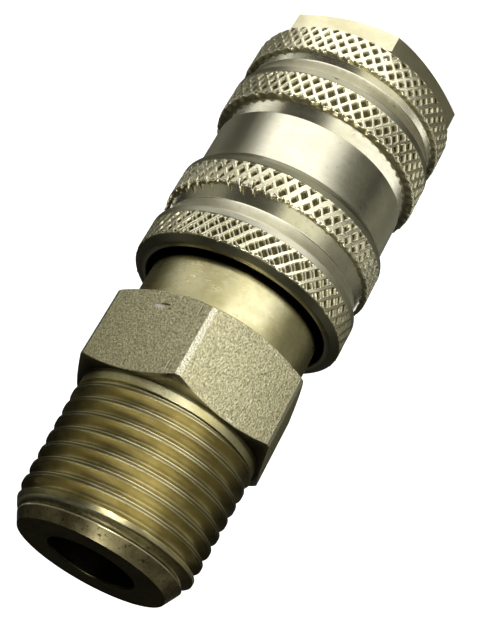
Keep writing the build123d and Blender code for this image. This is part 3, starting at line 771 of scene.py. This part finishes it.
hexagon_plate, tree, end = bare_material("hexagon_plate")
place = put(tree, "ShaderNodeTexCoord").outputs["Object"]
place = put(tree, "ShaderNodeVectorMath", {0: place, 1: (1.0, 1.0, 0.70)}, operation="MULTIPLY").outputs[0]
grain = noise(tree, place, 5600.0, 3.0, 0.64)
pits = put(tree, "ShaderNodeTexVoronoi", {"Vector": place, "Scale": 6000.0}, feature="SMOOTH_F1")
skin = number(tree, "ADD", grain, number(tree, "MULTIPLY", pits.outputs["Distance"], 0.35))
skin_mask = between(tree, skin, 0.46, 0.84)
stain = use(tree, plating_stain, Cloud_size_mm=5.0, Speck_size_mm=0.6)
tone = blend_colours(tree, skin_mask, seen(168, 160, 122), seen(252, 246, 206))
tone = blend_colours(tree, number(tree, "MULTIPLY", stain["Speck"], 0.35), tone, seen(110, 102, 74))
skin_bump = put(tree, "ShaderNodeBump", {"Height": skin, "Strength": 0.8, "Distance": 0.10 * mm})
# The rounded corners are painted lighter and made smoother: a painted highlight along each corner
painted_corner_highlight = on_mesh(tree, "corner")
tone = blend_colours(tree, number(tree, "MULTIPLY", painted_corner_highlight, 0.85), tone, seen(252, 247, 220))
# A dent near the neck, two scratches along the corner and a nick at the collar, in colour only: their dark
# sides are painted shadow, and their bright sides painted highlight, partly the bare metal of the scratches
# and the nick
painted_mark_shadows = [
    ((5.15, -9.84, 43.42), (0.75, 0.75, 0.14)), ((4.55, -10.2, 43.85), (0.22, 0.22, 0.12)),
    ((1.28, -12.09, 43.40), (0.05, 0.05, 0.85)), ((1.42, -12.01, 50.30), (0.05, 0.05, 0.80)),
]
painted_mark_highlights = [
    ((5.75, -9.50, 43.80), (0.75, 0.75, 0.24)), ((1.43, -12.00, 43.36), (0.07, 0.07, 0.90)),
    ((1.55, -11.93, 50.40), (0.07, 0.07, 0.85)), ((-6.38, -9.15, 51.62), (0.45, 0.45, 0.13)),
]
tone = blend_colours(tree, nicked(tree, painted_mark_shadows), tone, seen(96, 88, 62))
tone = blend_colours(tree, nicked(tree, painted_mark_highlights), tone, seen(255, 252, 238))
smoother = number(tree, "MULTIPLY", painted_corner_highlight, 0.14)
skin_rough = number(tree, "SUBTRACT", span(tree, skin_mask, 0.46, 0.34), smoother)
finish_with(tree, end, {
    "Base Color": tone, "Metallic": 1.0, "Roughness": skin_rough, "Normal": skin_bump.outputs[0],
})
degrees_of_bevel = 30.05 - np.degrees(round_half)
from_corner = np.abs((np.degrees(hex_turns) - 30 + 30) % 60 - 30)
row_count = len(hex_rows)
between_chamfers = np.array([[float(3 < row < row_count - 4)] for row in range(row_count)])
on_corner = (from_corner < degrees_of_bevel) * between_chamfers
# The hexagon's chamfer and face by the collar take the neck's plate and its near-black darkening: painted
# shade in the corner by the collar
hex_shade = np.zeros(row_count)
hex_shade[-4:] = 0.45, 0.70, 0.92, 0.92
hex_values = {"corner": on_corner, "soiled": np.repeat(hex_shade[:, None], len(hex_turns), 1)}
hex_mesh = surface_of("wrench_hexagon", hex_points, values=hex_values)
piece_of("wrench_hexagon", hex_mesh, hexagon_plate, "coupling_body", ["adapter"], 24)
hex_mesh.materials.append(neck_plate)
for side in hex_mesh.polygons:
    off_the_lathe = abs(side.normal.z) > 0.15
    side.material_index = int(off_the_lathe)

# Pipe thread of the adapter: half-inch taper, 14 threads an inch, right-handed, cut with one tool, with
# flat crests and a chamfered end. Fine tool lines run along the flanks. The crests' edges are painted bright,
# as rubbed metal and as painted highlight, their flats are painted darker, and dirt sits on the end chamfer.
inch = 25.4
pitch = inch / 14
crest_half, crest_drop = 0.20, 1.06
thread_low, thread_high = 53.38, 69.0
end_chamfer_start, end_chamfer_slope = 66.05, 1.66 / 2.95
crest_radius_low, taper = 10.72, 1 / 32
first_crest = 53.62
camera_side = radians(-97.9)


def cut_depth(offset):
    """How deep the thread is, by the distance along the axis from a crest's middle. Its root is round."""
    share = np.clip((np.abs(offset) - crest_half) / (pitch / 2 - crest_half), 0, 1)
    return crest_drop * (1 - (1 - share) ** 1.8)


# Points of the outline along the axis, from the middle of a crest; they lie closest at the crest's edges
offsets = np.array([
    -0.907, -0.84, -0.81, -0.70, -0.62, -0.55, -0.47, -0.40, -0.27, -0.215, -0.19, -0.10,
    0.0, 0.10, 0.19, 0.215, 0.27, 0.40, 0.55, 0.70, 0.81, 0.84,
])
swept = np.linspace(0, 2 * pi, 361)
thread_turns = camera_side + swept
advance = pitch * swept / (2 * pi)
starts = np.concatenate([first_crest + pitch * count + offsets for count in range(-2, 10)])
heights = np.clip(starts[:, None] + advance, thread_low, thread_high)
turned_back = (heights - first_crest - advance) / pitch
from_crest = np.abs(turned_back - np.round(turned_back)) * pitch
crest_line = crest_radius_low - (heights - thread_low) * taper
end_cone_radius = crest_radius_low - (end_chamfer_start - thread_low) * taper
end_cone = end_cone_radius - (heights - end_chamfer_start) * end_chamfer_slope
cut_line = crest_line - cut_depth(from_crest)
thread_radius = np.where(heights > end_chamfer_start, np.minimum(cut_line, end_cone), cut_line)
thread_points = np.stack(
    [thread_radius * np.cos(thread_turns), thread_radius * np.sin(thread_turns), heights], -1
)
# Edges of the crests painted bright, partly rubbed metal and partly painted highlight, stronger on the nose
# side and broken towards the end, with a painted highlight on the end chamfer's edge; crest flats painted
# darker; dirt
nose_side = (turned_back - np.round(turned_back)) < 0
broken = 0.5 + 0.5 * np.sin(7 * thread_turns + 3.1 * np.round(turned_back))
crest_edge = np.exp(-(((from_crest - crest_half) / 0.05) ** 2)) * np.where(nose_side, 1.0, 0.75 * broken)
on_cone = (heights > end_chamfer_start) & (end_cone < cut_line)
cone_edge = np.exp(-(((cut_line - end_cone) / 0.11) ** 2)) * (heights > end_chamfer_start + 0.5)
crest_edge = np.maximum(crest_edge * ~on_cone, cone_edge)
darker_crest_flats = np.clip((crest_half - 0.02 - from_crest) / 0.04, 0, 1) * ~on_cone
cone_soil = np.clip((heights - end_chamfer_start) / 1.2, 0, 1)

thread_plate, tree, end = bare_material("thread_plate")
bright_edge = on_mesh(tree, "edge")
soiled = on_mesh(tree, "soiled")
marks = use(tree, lathe_marks, Rings_per_mm=10.0, Wander=1.0)
stain = use(tree, plating_stain, Cloud_size_mm=2.5, Speck_size_mm=0.4)
tone = blend_colours(tree, stain["Cloud"], seen(210, 199, 154), seen(182, 171, 126))
# Crest flats painted darker
tone = blend_colours(tree, on_mesh(tree, "crest"), tone, seen(132, 122, 84))
blotch = number(tree, "MULTIPLY", soiled, span(tree, stain["Cloud"], 0.72, 1.0))
tone = blend_colours(tree, blotch, tone, seen(84, 78, 54))
dark_speck = number(tree, "MULTIPLY", soiled, number(tree, "MULTIPLY", stain["Speck"], 0.8))
tone = blend_colours(tree, dark_speck, tone, seen(30, 26, 14))
# Painted highlight on the crests' edges, partly rubbed metal
highlight_and_wear = number(tree, "MULTIPLY", bright_edge, number(tree, "ADD", 0.85, stain["Cloud"]))
tone = blend_colours(tree, highlight_and_wear, tone, seen(255, 250, 215))
thread_bump = put(tree, "ShaderNodeBump", {"Height": marks["Height"], "Strength": 0.5, "Distance": 0.02 * mm})
rougher = number(tree, "MULTIPLY", soiled, 0.12)
thread_rough = number(tree, "ADD", span(tree, bright_edge, 0.29, 0.22), rougher)
finish_with(tree, end, {
    "Base Color": tone, "Metallic": 1.0, "Roughness": thread_rough, "Normal": thread_bump.outputs[0],
})
thread_values = {"edge": crest_edge, "crest": darker_crest_flats, "soiled": cone_soil}
thread_mesh = surface_of("pipe_thread", thread_points, ring=False, values=thread_values)
piece_of("pipe_thread", thread_mesh, thread_plate, "coupling_body", ["adapter"])
